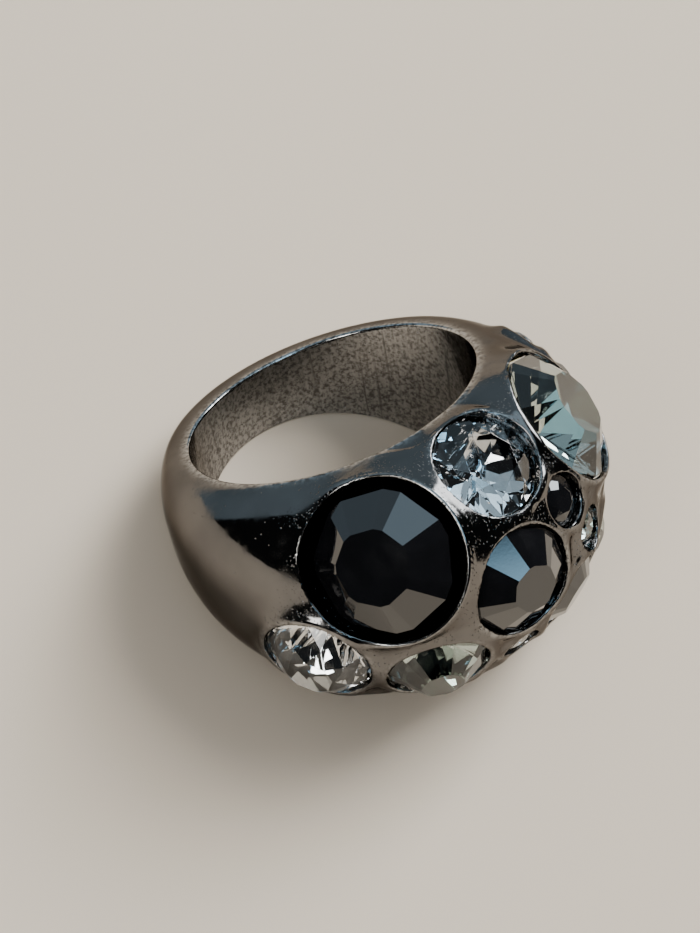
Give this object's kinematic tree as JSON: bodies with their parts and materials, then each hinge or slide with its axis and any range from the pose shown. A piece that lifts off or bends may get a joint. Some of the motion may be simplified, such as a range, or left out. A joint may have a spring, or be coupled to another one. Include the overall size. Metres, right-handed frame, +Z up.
{
  "type": "cocktail ring",
  "caption": "Domed cocktail ring: a polished gunmetal cast band that swells into a wide dome set with round faceted jet, smoky and clear glass stones.",
  "frame": {"origin": "centre of the outer box at its lowest level, on the surface that the ring lies on", "axes": "the ring lies on its side: +Z up from the table, +X towards the dome, Y across the dome; the finger bore's axis leans back from +Z by the wedge angle of the band"},
  "size_m": [0.0268, 0.0254, 0.0164],
  "materials": {
    "gunmetal_plate": "polished dark gunmetal plating over cast zinc alloy, mirror-like, with fine pits",
    "jet_glass": "opaque black pressed glass, machine cut and polished",
    "smoky_glass": "smoky grey-green transparent glass, machine cut and polished",
    "crystal_glass": "clear high-lead glass, machine cut and polished",
    "foil": "silvered backing",
    "cement": "cured clear epoxy, slightly yellow"
  },
  "bodies": {
    "root": {"ring_casting": "gunmetal_plate", "crystal_left": "crystal_glass", "crystal_small_far_right": "crystal_glass", "crystal_small_lower": "crystal_glass", "crystal_under_far_right": "crystal_glass", "crystal_under_left": "crystal_glass", "crystal_upper_centre": "crystal_glass", "jet_centre": "jet_glass", "jet_far_right": "jet_glass", "jet_large_upper_left": "jet_glass", "jet_lower_right": "jet_glass", "jet_small_upper_right": "jet_glass", "jet_under_far_left": "jet_glass", "jet_under_right": "jet_glass", "smoky_large_upper_right": "smoky_glass", "smoky_lower_left": "smoky_glass", "smoky_small_far_right": "smoky_glass", "smoky_small_right": "smoky_glass", "smoky_small_under_right": "smoky_glass", "smoky_under_right": "smoky_glass", "crystal_left_foil": "foil", "crystal_small_far_right_foil": "foil", "crystal_small_lower_foil": "foil", "crystal_under_far_right_foil": "foil", "crystal_under_left_foil": "foil", "crystal_upper_centre_foil": "foil", "smoky_large_upper_right_foil": "foil", "smoky_lower_left_foil": "foil", "smoky_small_far_right_foil": "foil", "smoky_small_right_foil": "foil", "smoky_small_under_right_foil": "foil", "smoky_under_right_foil": "foil", "crystal_left_cement": "cement", "crystal_small_far_right_cement": "cement", "crystal_small_lower_cement": "cement", "crystal_under_far_right_cement": "cement", "crystal_under_left_cement": "cement", "crystal_upper_centre_cement": "cement", "jet_centre_cement": "cement", "jet_far_right_cement": "cement", "jet_large_upper_left_cement": "cement", "jet_lower_right_cement": "cement", "jet_small_upper_right_cement": "cement", "jet_under_far_left_cement": "cement", "jet_under_right_cement": "cement", "smoky_large_upper_right_cement": "cement", "smoky_lower_left_cement": "cement", "smoky_small_far_right_cement": "cement", "smoky_small_right_cement": "cement", "smoky_small_under_right_cement": "cement", "smoky_under_right_cement": "cement"}
  },
  "joints": []
}
